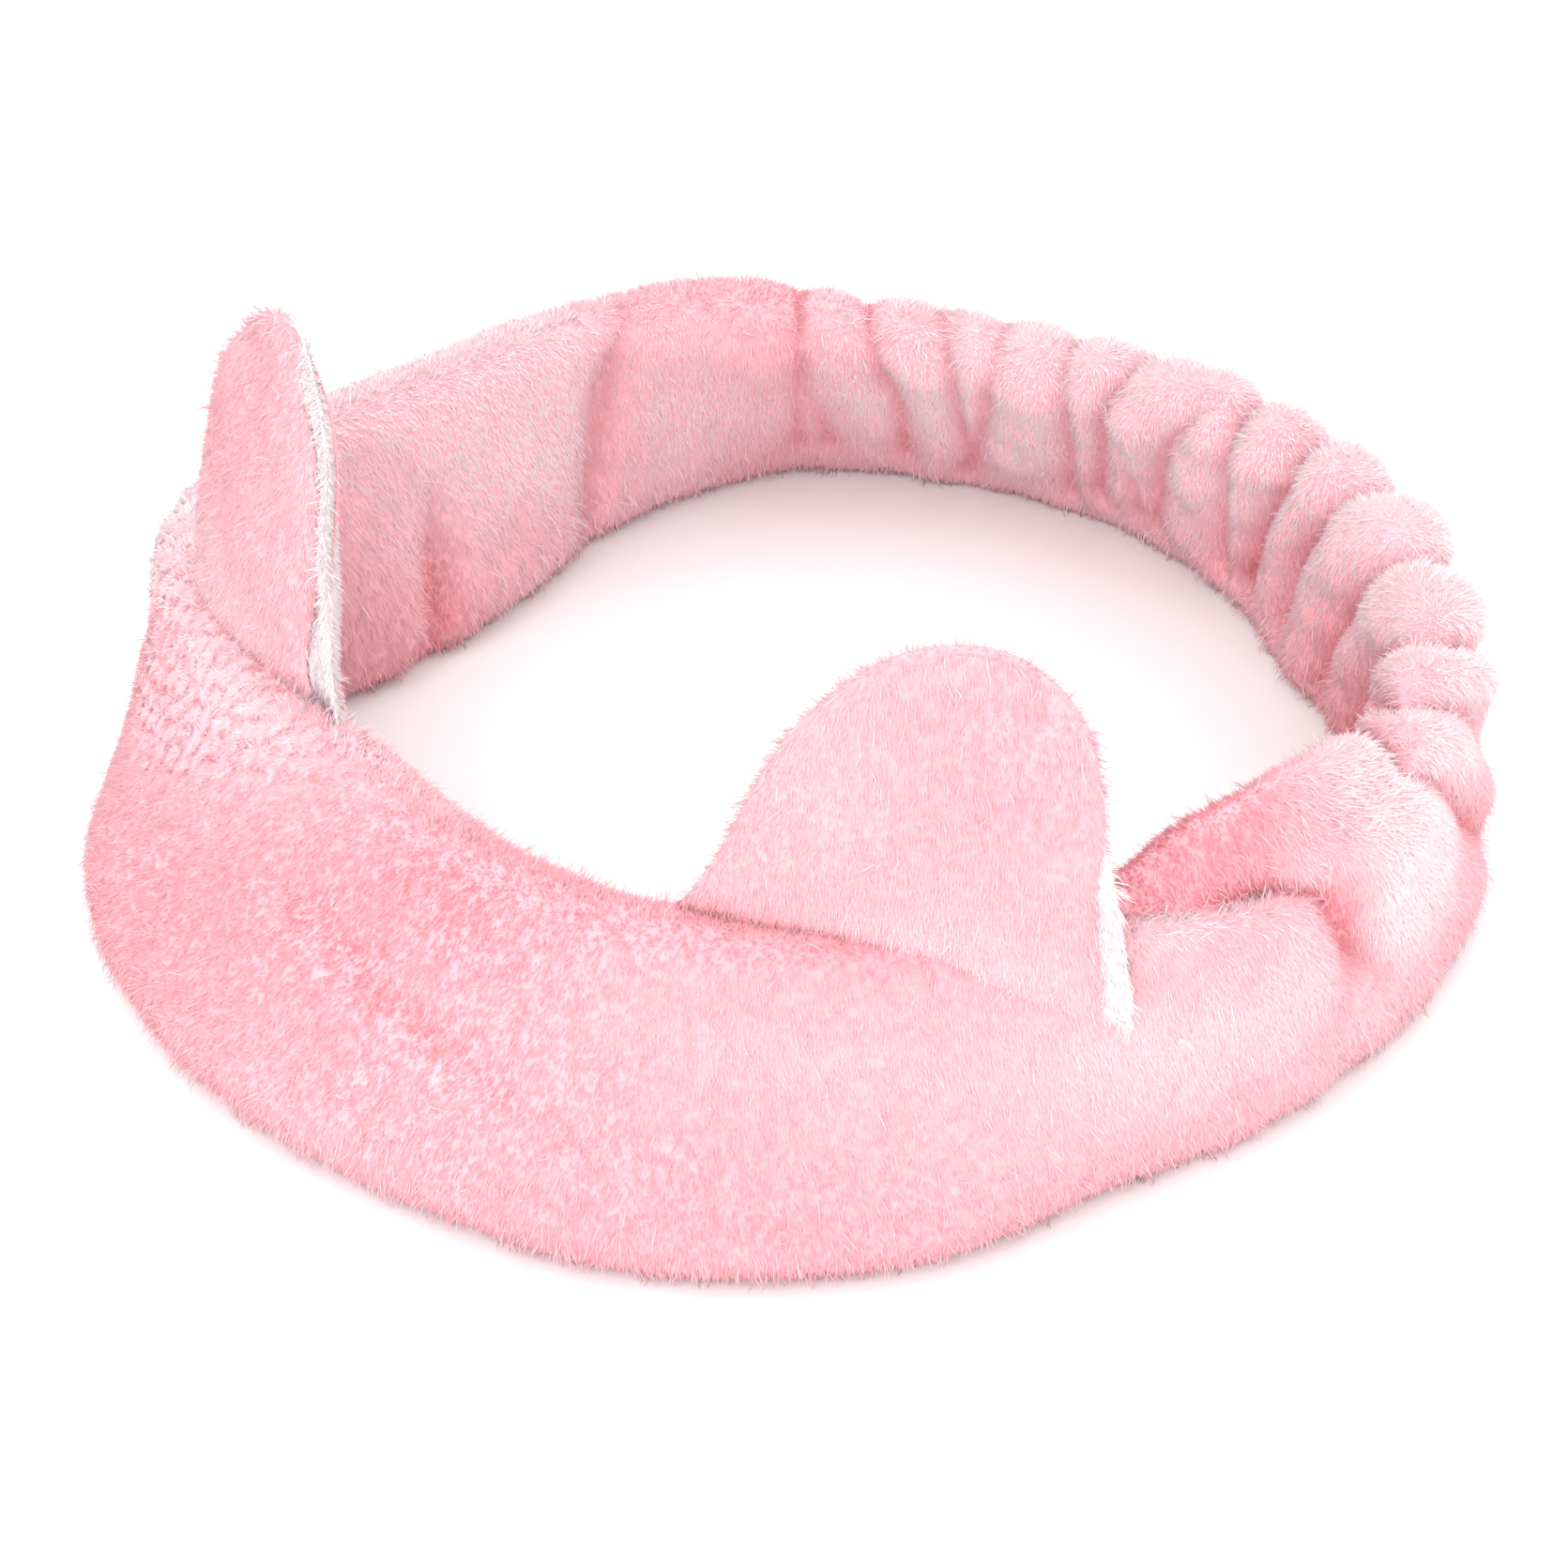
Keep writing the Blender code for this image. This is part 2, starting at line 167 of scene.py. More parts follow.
def section_at(angle):
    lower, upper, height, _ = loop_at(angle)
    turn = np.radians(angle)
    radial = np.stack((np.sin(turn), -np.cos(turn), np.zeros_like(turn)), -1)
    up_axis = np.array((0.0, 0.0, 1.0))
    foot = CENTRE + radial * lower[..., None] + up_axis * (HALF - FOOT_FLAT)
    crest = CENTRE + radial * upper[..., None] + up_axis * (height - HALF)[..., None]
    length = np.linalg.norm(crest - foot, axis=-1)
    up = (crest - foot) / length[..., None]
    lean = (radial * up).sum(-1)
    out = radial * up[..., 2:] - up_axis * lean[..., None]
    return (foot + crest) / 2, up, out, length


def rim_length(straight):
    return 2 * math.pi * HALF + 2 * straight


def surface(angle, along):
    """Points on the frame's surface and their outward normals. along is the distance from the top of the
    section, positive down the outer face and negative down the inner one."""
    middle, up, out, straight = section_at(angle)
    side = np.where(along >= 0, 1.0, -1.0)
    down = np.abs(along)
    quarter = math.pi / 2 * HALF
    turn_top = np.clip(down / HALF, 0, math.pi / 2)
    turn_low = np.clip((down - quarter - straight) / HALF, 0, math.pi / 2)
    turn = turn_top + turn_low
    level = straight / 2 - np.clip(down - quarter, 0, straight)
    out_by = side * HALF * np.sin(turn)
    up_by = np.where(turn_low > 0, -straight / 2, np.where(down < quarter, straight / 2, level))
    up_by = up_by + HALF * np.cos(turn)
    normal = out * (side * np.sin(turn))[..., None] + up * np.cos(turn)[..., None]
    return middle + out * out_by[..., None] + up * up_by[..., None], normal


def smooth(low, high, value):
    t = np.clip((value - low) / (high - low), 0.0, 1.0)
    return t * t * (3 - 2 * t)


def crease_shape(angle, along, creases, width):
    """0 away from the creases, up to 1 on them."""
    x, y = np.radians(angle) * LOOP_RADIUS, along
    deepest = np.zeros(np.shape(x))
    for path in creases:
        for (a0, b0, s0), (a1, b1, s1) in zip(path, path[1:]):
            x0, x1 = math.radians(a0) * LOOP_RADIUS, math.radians(a1) * LOOP_RADIUS
            dx, dy = x1 - x0, b1 - b0
            t = np.clip(((x - x0) * dx + (y - b0) * dy) / (dx * dx + dy * dy), 0, 1)
            away = ((x - x0 - t * dx) ** 2 + (y - b0 - t * dy) ** 2) / width**2
            deepest = np.maximum(deepest, (s0 + (s1 - s0) * t) * np.exp(-away))
    return deepest


def waves(angle, along, seed, scale, count=9):
    """Soft random waves over the cloth, about -1 to 1, with wavelengths round scale millimetres."""
    random = np.random.default_rng(seed)
    turn = np.radians(angle)
    place = np.stack((LOOP_RADIUS * np.sin(turn), LOOP_RADIUS * np.cos(turn), along + 0 * turn), -1)
    total = np.zeros(place.shape[:-1])
    for _ in range(count):
        heading = random.normal(size=3)
        heading *= 2 * math.pi / (np.linalg.norm(heading) * scale * random.uniform(0.6, 1.3))
        total += np.sin(place @ heading + random.uniform(0, 2 * math.pi))
    return total / math.sqrt(count)


def from_join(angle):
    """The angle counted so that the cloth just past the left join follows on from the gathers."""
    return np.where(angle < -115.0, angle + 360.0, angle)


def cloth_relief(angle, along):
    """How far the cloth stands out of the plain section: soft waves, the fold's and the gathers' creases
    with fat rolls between them, and the dents."""
    relief = 0.38 * waves(angle, along, 3, 44.0) + 0.14 * waves(angle, along, 4, 17.0)
    turned = from_join(angle)
    wide = crease_shape(turned, along, GATHERS, CREASE_WIDE)
    sharp = crease_shape(turned, along, GATHERS, CREASE_SHARP)
    fat = np.interp(turned, *np.array(FATNESS, float).T)
    relief += fat * (0.55 - 0.95 * wide - 0.35 * sharp)
    relief += fat * 0.12 * waves(angle, along, 12, 13.0)
    relief -= DENT_DEPTH * crease_shape(angle, along, DENTS, DENT_WIDE)
    relief -= DENT_LINE_DEPTH * crease_shape(angle, along, DENTS, DENT_LINE_WIDE)
    return np.maximum(relief, DEEPEST_RELIEF)


def fold_lift(angle, along):
    """How far the inner lip of the fold rises over the front edge."""
    across = smooth(54.0, 71.0, angle) * (1 - smooth(78.0, 100.0, angle))
    return FOLD_RISE * across * smooth(-27.0, -8.0, along) * (1 - smooth(-5.0, 2.4, along))


def cloth_grid(start, end, columns, rows):
    """A closed tube of cloth round part of the loop: points by column and row."""
    angles = np.linspace(start, end, columns)
    straight = section_at(angles)[3]
    share = (np.arange(rows) + 0.5) / rows * 2 - 1
    angle = np.repeat(angles[:, None], rows, 1)
    along = share[None, :] * (rim_length(straight) / 2)[:, None]
    point, normal = surface(angle, along)
    stand = cloth_relief(angle, along) - CLOTH_INSET
    point = point + normal * stand[..., None]
    point[..., 2] += fold_lift(angle, along)
    point[..., 2] = np.maximum(point[..., 2], LOWEST_CLOTH)
    return angle, along, point


def grid_normals(point, angle, along):
    """Outward normals of a grid that is closed along its rows."""
    plain = surface(angle, along)[1]
    columns = np.gradient(point, axis=0)
    rows = np.roll(point, -1, 1) - np.roll(point, 1, 1)
    normal = np.cross(columns, rows)
    normal /= np.linalg.norm(normal, axis=-1, keepdims=True) + 1e-12
    return normal * np.sign((normal * plain).sum(-1).mean())


# --- meshes --------------------------------------------------------------------------------------


def make_mesh(name, points, faces, material):
    """points in millimetres."""
    mesh = bpy.data.meshes.new(name)
    mesh.from_pydata((points * MM).tolist(), [], faces)
    mesh.materials.append(material)
    mesh.shade_smooth()
    mesh.update()
    obj = bpy.data.objects.new(name, mesh)
    bpy.context.scene.collection.objects.link(obj)
    return obj


def tube_object(name, point, material):
    """A tube of cloth closed at both ends by fans: points by column and row."""
    columns, rows = point.shape[:2]
    faces = []
    for i in range(columns - 1):
        for j in range(rows):
            k = (j + 1) % rows
            faces.append((i * rows + j, i * rows + k, (i + 1) * rows + k, (i + 1) * rows + j))
    ends = np.array((point[0].mean(0), point[-1].mean(0)))
    first, last = columns * rows, columns * rows + 1
    for j in range(rows):
        k = (j + 1) % rows
        faces.append((first, k, j))
        faces.append((last, (columns - 1) * rows + j, (columns - 1) * rows + k))
    return make_mesh(name, np.vstack((point.reshape(-1, 3), ends)), faces, material)


# Corners of a fibre's triangles: its foot ring, then its tip. A hair has a second ring before the tip.
FIBRE_TRIANGLES = ((0, 2, 1), (0, 1, 3), (1, 2, 3), (2, 0, 3))
HAIR_TRIANGLES = (
    ((0, 2, 1),)
    + ((0, 1, 4), (0, 4, 3), (3, 4, 6))
    + ((1, 2, 5), (1, 5, 4), (4, 5, 6))
    + ((2, 0, 3), (2, 3, 5), (5, 3, 6))
)
# The pile is split into pieces of at most this many triangles. The export thins out a
# piece that has more than 200,000 triangles.
TRIANGLES_A_PIECE = 190000
# The pile: fibres on a square millimetre, and length and width in millimetres.
PILE_DENSITY, PILE_LENGTH, PILE_WIDTH = 7.0, 1.35, 0.27
HAIR_LENGTH, HAIR_WIDTH = 2.6, 0.17
ROOT_DEPTH = 0.2
# How much of the cloth's own normal a fibre's normals keep.
FIBRE_CLOTH_NORMAL, HAIR_CLOTH_NORMAL = 0.8, 0.7


def pile_mesh(name, points, normals, triangles, material):
    """Many small closed spikes as one object: points by spike and corner, in millimetres."""
    count, corners = points.shape[:2]
    points[..., 2] = np.maximum(points[..., 2], LOWEST_PILE)
    normals /= np.linalg.norm(normals, axis=2, keepdims=True)
    corner = (np.arange(count)[:, None, None] * corners + np.array(triangles)[None]).reshape(-1)
    faces = len(corner) // 3
    mesh = bpy.data.meshes.new(name)
    mesh.vertices.add(count * corners)
    mesh.vertices.foreach_set("co", (points * MM).astype(np.float32).reshape(-1))
    mesh.loops.add(len(corner))
    mesh.loops.foreach_set("vertex_index", corner.astype(np.int32))
    mesh.polygons.add(faces)
    mesh.polygons.foreach_set("loop_start", np.arange(0, len(corner), 3, dtype=np.int32))
    mesh.polygons.foreach_set("loop_total", np.full(faces, 3, dtype=np.int32))
    mesh.update(calc_edges=True)
    mesh.materials.append(material)
    mesh.shade_smooth()
    mesh.normals_split_custom_set_from_vertices(normals.reshape(-1, 3).astype(np.float32))
    obj = bpy.data.objects.new(name, mesh)
    bpy.context.scene.collection.objects.link(obj)
    return obj


def spikes(root, tip_by, bend_by, width, face_normal, bent):
    """Corners and normals of fibres: straight three-sided spikes, or hairs with a bend half way up."""
    direction = tip_by / (np.linalg.norm(tip_by, axis=1, keepdims=True) + 1e-9)
    helper = np.where(np.abs(direction[:, 2:]) < 0.9, (0.0, 0.0, 1.0), (1.0, 0.0, 0.0))
    across = np.cross(direction, helper)
    across /= np.linalg.norm(across, axis=1, keepdims=True)
    other = np.cross(direction, across)
    size = 7 if bent else 4
    points = np.empty((len(root), size, 3))
    kept = HAIR_CLOTH_NORMAL if bent else FIBRE_CLOTH_NORMAL
    normals = np.repeat(face_normal[:, None, :] * kept, size, 1)
    for j in range(3):
        turn = 2 * math.pi * j / 3
        ring = across * math.cos(turn) + other * math.sin(turn)
        points[:, j] = root + ring * (width * 0.5)[:, None]
        normals[:, j] += 0.5 * ring
        if bent:
            points[:, 3 + j] = root + tip_by * 0.55 + bend_by + ring * (width * 0.4)[:, None]
            normals[:, 3 + j] += 0.5 * ring
    points[:, -1] = root + tip_by
    return points, normals


def grow_pile(
    name, point, normal, tone, weight, density, length, width, palette, nap, bent, clumps, curly=None
):
    """Pile over a grid of cloth, in pieces by shade. point, normal, tone, weight and curly are by column
    and row."""
    quad = np.cross(point[1:, 1:] - point[:-1, :-1], point[1:, :-1] - point[:-1, 1:])
    area = np.linalg.norm(quad, axis=-1) / 2
    share = area * (weight[1:, 1:] + weight[:-1, :-1] + weight[1:, :-1] + weight[:-1, 1:]) / 4
    count = int(share.sum() * density)
    cell = rng.choice(share.size, count, p=share.reshape(-1) / share.sum())
    i, j = np.divmod(cell, area.shape[1])
    u, v = rng.random(count)[:, None], rng.random(count)[:, None]

    def mixed(field):
        a, b, c, d = field[i, j], field[i + 1, j], field[i, j + 1], field[i + 1, j + 1]
        return a * (1 - u) * (1 - v) + b * u * (1 - v) + c * (1 - u) * v + d * u * v

    root, up = mixed(point), mixed(normal)
    up /= np.linalg.norm(up, axis=1, keepdims=True) + 1e-9
    shade = mixed(tone[..., None])[:, 0]
    lie = np.asarray(nap, float)
    lie = lie - up * (up @ lie)[:, None]
    # Neighbouring fibres lean together in soft clumps.
    clump = np.zeros((count, 3))
    for k in range(8):
        wave = rng.normal(size=3)
        wave *= 2 * math.pi / (np.linalg.norm(wave) * rng.uniform(2.5, 9.0))
        clump += np.sin(root @ wave + rng.uniform(0, 6.28))[:, None] * rng.normal(size=3) / 8**0.5
    clump *= clumps
    if curly is not None:
        # Fine curls, each a millimetre or two wide, with painted light and painted shade: each fibre is
        # painted paler or deeper with the way its curl leans.
        wild = mixed(curly[..., None])[:, 0]
        for k in range(6):
            wave = rng.normal(size=3)
            wave *= 2 * math.pi / (np.linalg.norm(wave) * rng.uniform(1.5, 2.6))
            curl = np.sin(root @ wave + rng.uniform(0, 6.28)) * wild
            clump += curl[:, None] * rng.normal(size=3) * 0.42
            shade = shade + 0.11 * curl
    clump -= up * (clump * up).sum(1)[:, None]
    stray = rng.normal(size=(count, 3))
    stray -= up * (stray * up).sum(1)[:, None]
    direction = up * (0.5 + 0.2 * rng.random(count))[:, None] + lie * 0.7 + clump + stray * 0.16
    direction /= np.linalg.norm(direction, axis=1, keepdims=True)
    size = length * rng.uniform(0.7, 1.2, count)
    tip = direction * size[:, None]
    bend = up * (0.1 * size)[:, None] + stray * (0.06 * size)[:, None]
    thickness = width * rng.uniform(0.75, 1.25, count)
    shades = len(palette)
    pick = np.clip((shade * shades + rng.uniform(-0.5, 0.5, count)).astype(int), 0, shades - 1)
    triangles = HAIR_TRIANGLES if bent else FIBRE_TRIANGLES
    most = TRIANGLES_A_PIECE // len(triangles)
    pieces = []
    for n, material in enumerate(palette):
        chosen = np.flatnonzero(pick == n)
        if len(chosen) == 0:
            continue
        for m, chunk in enumerate(np.array_split(chosen, math.ceil(len(chosen) / most))):
            foot = root[chunk] - up[chunk] * ROOT_DEPTH
            points, normals = spikes(foot, tip[chunk], bend[chunk], thickness[chunk], up[chunk], bent)
            pieces.append(pile_mesh(f"{name}_{n + 1}_{m + 1}", points, normals, triangles, material))
    return pieces


# --- materials -----------------------------------------------------------------------------------


def plush(name, deep, pale, sheen, spread=38.0):
    """Short pile cloth: soft patches from deep to pale, a fine mottle, and a velvet sheen."""
    material = bpy.data.materials.new(name)
    material.use_nodes = True
    nodes, links = material.node_tree.nodes, material.node_tree.links
    shader = nodes["Principled BSDF"]
    place = nodes.new("ShaderNodeTexCoord")
    patches = nodes.new("ShaderNodeTexNoise")
    patches.inputs["Scale"].default_value = spread
    patches.inputs["Detail"].default_value = 3.0
    links.new(place.outputs["Object"], patches.inputs["Vector"])
    fine = nodes.new("ShaderNodeTexNoise")
    fine.inputs["Scale"].default_value = 420.0
    fine.inputs["Detail"].default_value = 2.0
    links.new(place.outputs["Object"], fine.inputs["Vector"])
    both = nodes.new("ShaderNodeMix")
    both.data_type = "FLOAT"
    both.inputs["Factor"].default_value = 0.35
    links.new(patches.outputs["Fac"], both.inputs["A"])
    links.new(fine.outputs["Fac"], both.inputs["B"])
    ramp = nodes.new("ShaderNodeValToRGB")
    ramp.color_ramp.elements[0].position = 0.36
    ramp.color_ramp.elements[0].color = (*deep, 1.0)
    ramp.color_ramp.elements[1].position = 0.64
    ramp.color_ramp.elements[1].color = (*pale, 1.0)
    links.new(both.outputs["Result"], ramp.inputs["Fac"])
    links.new(ramp.outputs["Color"], shader.inputs["Base Color"])
    bump = nodes.new("ShaderNodeBump")
    bump.inputs["Strength"].default_value = 0.35
    bump.inputs["Distance"].default_value = 0.0006
    links.new(fine.outputs["Fac"], bump.inputs["Height"])
    links.new(bump.outputs["Normal"], shader.inputs["Normal"])
    shader.inputs["Roughness"].default_value = 0.95
    shader.inputs["Specular IOR Level"].default_value = 0.08
    shader.inputs["Sheen Weight"].default_value = sheen
    shader.inputs["Sheen Roughness"].default_value = 0.45
    shader.inputs["Sheen Tint"].default_value = (1.0, 0.93, 0.94, 1.0)
    return material


def fibre(name, colour):
    """A matt finish of one colour for fibres of the pile."""
    material = bpy.data.materials.new(name)
    material.use_nodes = True
    shader = material.node_tree.nodes["Principled BSDF"]
    shader.inputs["Base Color"].default_value = (*colour, 1.0)
    shader.inputs["Roughness"].default_value = 1.0
    shader.inputs["Specular IOR Level"].default_value = 0.0
    return material


PINKS = (
    (0.955, 0.36, 0.41),
    (0.96, 0.45, 0.50),
    (0.97, 0.53, 0.575),
    (0.975, 0.60, 0.645),
    (0.98, 0.69, 0.73),
    (0.985, 0.80, 0.83),
)
WHITES = ((0.87, 0.785, 0.80), (0.92, 0.85, 0.86))

pink_cloth = plush("pink_plush_cloth", (0.95, 0.42, 0.47), (0.96, 0.54, 0.59), 0.03)
white_cloth = plush("white_plush_cloth", (0.85, 0.77, 0.785), (0.90, 0.84, 0.85), 0.03)
pinks = [fibre(f"pink_pile_{n + 1}", colour) for n, colour in enumerate(PINKS)]
whites = [fibre(f"white_pile_{n + 1}", colour) for n, colour in enumerate(WHITES)]
NAP_DOWN = (0.0, 0.0, -1.0)
# The longer hairs along the edges are painted paler than the pile, as painted light for the glow of
# light through them.
HAIR_PAINTED_LIGHT, HAIR_CLUMPS = 0.15, 0.4


def closed_rows(grid):
    """The grid with its first row again at the end, so that the pile goes all the way round."""
    return np.concatenate((grid, grid[:, :1]), 1)


def pile_all(
    name, point, normal, tone, edges, palette, clumps=0.05, hairs=1.0, curly=None, cover=None
):
    """The short pile all over, and the longer hairs that stand out along the edges."""
    cover = np.ones_like(tone) if cover is None else cover
    short = (PILE_DENSITY, PILE_LENGTH, PILE_WIDTH)
    pieces = grow_pile(
        f"{name}_pile", point, normal, tone, cover, *short, palette, NAP_DOWN, False, clumps, curly
    )
    # Painted light: the hairs are a step paler than the pile under them.
    paler, long = tone + HAIR_PAINTED_LIGHT, (hairs, HAIR_LENGTH, HAIR_WIDTH)
    pieces += grow_pile(
        f"{name}_hair", point, normal, paler, edges, *long, palette, NAP_DOWN, True, HAIR_CLUMPS
    )
    return pieces


def section_edges(angle, along):
    """1 near the top and the foot of the section, little on its flat faces."""
    half = rim_length(section_at(angle)[3]) / 2
    top = np.exp(-((along / 5.5) ** 2))
    foot = np.exp(-(((half - np.abs(along)) / 12.0) ** 2))
    return np.clip(0.03 + 0.8 * top + foot, 0, 1)


# --- the band ------------------------------------------------------------------------------------

# Painted light and painted shade in soft patches, paler where light is painted and deeper where shade is
# painted: angle, distance from the top, size along, size across, amount.
PAINTED_LIGHT_AND_SHADE = (
    (0.0, 13.0, 20.0, 7.0, -0.16),
    (-34.0, 9.0, 26.0, 13.0, 0.40),
    (-10.0, 2.0, 14.0, 4.0, 0.20),
    (14.0, 25.0, 24.0, 5.0, -0.06),
    (60.0, 22.0, 26.0, 14.0, 0.46),
    (-88.0, 16.0, 40.0, 26.0, 0.76),
    (-63.0, 4.0, 18.0, 9.0, 0.50),
    (-68.0, 14.0, 15.0, 16.0, 0.38),
    (30.0, 20.0, 20.0, 9.0, 0.20),
    (63.0, 3.4, 15.0, 2.6, 0.60),
    (80.0, 15.0, 3.4, 13.0, -0.52),
    (70.0, -4.0, 15.0, 4.0, -0.40),
    (-112.0, -22.0, 55.0, 24.0, 0.66),
    (-118.0, -24.0, 8.0, 16.0, -0.32),
    (-100.0, -34.0, 14.0, 8.0, -0.22),
    (-86.0, -38.0, 8.0, 9.0, -0.30),
    (88.0, 14.0, 18.0, 18.0, 0.52),
    (125.0, 0.0, 62.0, 26.0, 0.66),
    (190.0, -12.0, 60.0, 32.0, 0.74),
)


def pile_tone_with_painted_shade(angle, along):
    """Shade of the pile, from 0 for the deepest pink to 1 for the palest: soft random waves, painted
    light and painted shade from the patches, and painted shade along the creases and in the dents.
    """
    tone = 0.29 + 0.04 * waves(angle, along, 21, 38.0) + 0.02 * waves(angle, along, 22, 9.0)
    # Painted light and painted shade, patch by patch.
    for at, down, wide, tall, amount in PAINTED_LIGHT_AND_SHADE:
        x, y = np.radians(angle - at) * LOOP_RADIUS, along - down
        tone += amount * np.exp(-((x / wide) ** 2 + (y / tall) ** 2))
    # Painted shade: the pile is deeper pink along the creases of the gathers and the fold, and in the
    # dents.
    tone -= 0.40 * crease_shape(from_join(angle), along, GATHERS, 1.5)
    tone -= 0.22 * crease_shape(from_join(angle), along, GATHERS, 3.4)
    return tone - 0.30 * crease_shape(angle, along, DENTS, 3.0)


def ride_all(pieces, body):
    for piece in pieces:
        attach(piece, body)


BAND_COLUMNS, SLEEVE_COLUMNS, CLOTH_ROWS = 460, 330, 120
band_angle, band_along, band_point = cloth_grid(BAND_START, BAND_END, BAND_COLUMNS, CLOTH_ROWS)
band_normal = grid_normals(band_point, band_angle, band_along)
band = tube_object("band_plush", band_point, pink_cloth)
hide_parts("outer_panel", "lining_panel")
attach(band, "front_band")
band_pile = pile_all(
    "band",
    closed_rows(band_point),
    closed_rows(band_normal),
    closed_rows(pile_tone_with_painted_shade(band_angle, band_along)),
    closed_rows(section_edges(band_angle, band_along)),
    pinks,
    curly=closed_rows(
        smooth(-108.0, -84.0, band_angle)
        * (1 - smooth(-20.0, -4.0, band_angle + band_along * 0.9))
        * smooth(-4.0, 3.0, band_along)
        * (1 - smooth(22.0, 34.0, band_along))
    ),
)
ride_all(band_pile, "front_band")


# --- the gathered sleeve ---------------------------------------------------------------------------


def stretch_with_back(pieces):
    for piece in pieces:
        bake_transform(piece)


sleeve_angle, sleeve_along, sleeve_point = cloth_grid(
    BAND_END, BAND_START + 360.0, SLEEVE_COLUMNS, CLOTH_ROWS
)
sleeve_normal = grid_normals(sleeve_point, sleeve_angle, sleeve_along)
sleeve = tube_object("sleeve_plush", sleeve_point, pink_cloth)
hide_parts("elastic_sleeve")
sleeve_pile = pile_all(
    "sleeve",
    closed_rows(sleeve_point),
    closed_rows(sleeve_normal),
    closed_rows(pile_tone_with_painted_shade(sleeve_angle, sleeve_along)),
    closed_rows(section_edges(sleeve_angle, sleeve_along)),
    pinks,
)
stretch_with_back([sleeve, *sleeve_pile])


# --- the ears ------------------------------------------------------------------------------------

# Each ear's outline on its flat pattern, from one end of its base over the tip to the other.
EAR_OUTLINES = {
    "right": (
        (-25.6, -1.0), (-23.4, 2.5), (-21.2, 8.4), (-19.2, 16.4), (-17.2, 24.2), (-15.2, 29.6),
        (-12.6, 33.8), (-9.0, 37.8), (-4.2, 40.3), (1.2, 41.2), (6.8, 40.6), (11.6, 38.8),
        (15.0, 35.2), (17.0, 30.2), (18.6, 25.2), (20.4, 19.2), (22.6, 12.0), (25.0, 4.0),
        (26.2, -1.0),
    ),
    "left": (
        (-24.0, -2.0), (-21.5, 3.0), (-19.4, 8.0), (-18.4, 14.0), (-18.2, 20.0), (-18.4, 26.5),
        (-18.2, 33.0), (-16.4, 38.8), (-12.4, 43.4), (-6.4, 46.0), (-0.6, 45.2), (4.6, 41.6),
        (9.0, 36.4), (12.0, 30.8), (14.0, 24.6), (14.4, 18.0), (13.8, 12.0), (13.6, 5.0),
        (14.2, -2.0),
    ),
}  # fmt: skip
# How far each half of an ear's pillow bulges.
EAR_BULGE = {"left": 2.3, "right": 3.0}
# The pale back shows past the front along one side of each ear.
EAR_RIM_SIDE = {"left": -1, "right": 1}
EAR_RIM_FROM = {"left": (4.0, 14.0), "right": (18.2, 21.5)}
FRONT_RIM, BACK_RIM = {"left": -7.2, "right": -1.6}, {"left": 1.4, "right": 0.8}
BACK_WRAP = {"left": 2.2, "right": 2.0}
# How thick a half is at its base and at its inner face, and half the gap between the halves.
AT_BASE, AT_INNER_FACE, HALVES_APART = 0.9, 0.3, 0.03
BACK_SMALLER = 0.6
EAR_FAN_MIDDLE = -2.4
EAR_COLUMNS, EAR_ROWS = 96, 30


def ear_seam(side, x):
    """Points and normals along the band's upper seam, x millimetres from the ear's middle."""
    sign = 1 if side == "right" else -1
    radius = loop_at(sign * EAR_MIDDLE)[1]
    angle = sign * (EAR_MIDDLE + np.degrees(x / radius))
    return surface(angle, loop_at(angle)[3])


def ear_axes(side):
    """Directions along an ear's base, out of its front and up it, and the two ends of its base."""
    near = ear_seam(side, np.array(-EAR_HALF_WIDTH))[0]
    far = ear_seam(side, np.array(EAR_HALF_WIDTH))[0]
    along = (far - near) / np.linalg.norm(far - near)
    front = (near + far) / 2 - CENTRE
    front[2] = 0.0
    front -= along * (front @ along)
    front /= np.linalg.norm(front)
    up = np.array((0.0, 0.0, 1.0)) + front * EAR_LEAN[side] + along * EAR_SPLAY[side]
    return along, front, up / np.linalg.norm(up), near, far


def ear_point(side, x, y, z):
    """Where points of the flat ear pattern go: x along the base, y out of the front, z up."""
    _, ahead, up, near, far = ear_axes(side)
    point, normal = ear_seam(side, x)
    tangent = ear_seam(side, x + 1.0)[0] - ear_seam(side, x - 1.0)[0]
    front = np.cross(tangent, up)
    front /= np.linalg.norm(front, axis=-1, keepdims=True)
    front *= np.sign(front @ ahead)[..., None]
    share = (x / EAR_HALF_WIDTH + 1.0) / 2
    straight = near + (far - near) * share[..., None]
    straight[..., 2] = point[..., 2]
    pull = np.clip(z / EAR_HEIGHT, 0, 1) * EAR_STRAIGHTENING
    point = point + (straight - point) * pull[..., None]
    stand_off = SEAM_STAND_OFF + EAR_STAND_OFF * (1.0 - normal[..., 2])
    return point + normal * stand_off[..., None] + up * z[..., None] + front * y[..., None]


def smooth_path(corners, count):
    """Points along a smooth curve through the corners, evenly by corner."""
    corners = np.array(corners, float)
    ends = np.vstack((2 * corners[0] - corners[1], corners, 2 * corners[-1] - corners[-2]))
    at = np.linspace(0, len(corners) - 1, count)
    i = np.clip(at.astype(int), 0, len(corners) - 2)
    t = (at - i)[:, None]
    p0, p1, p2, p3 = ends[i], ends[i + 1], ends[i + 2], ends[i + 3]
    squared = (2 * p0 - 5 * p1 + 4 * p2 - p3) * t**2
    cubed = (3 * p1 - p0 - 3 * p2 + p3) * t**3
    return 0.5 * (2 * p1 + (p2 - p0) * t + squared + cubed)


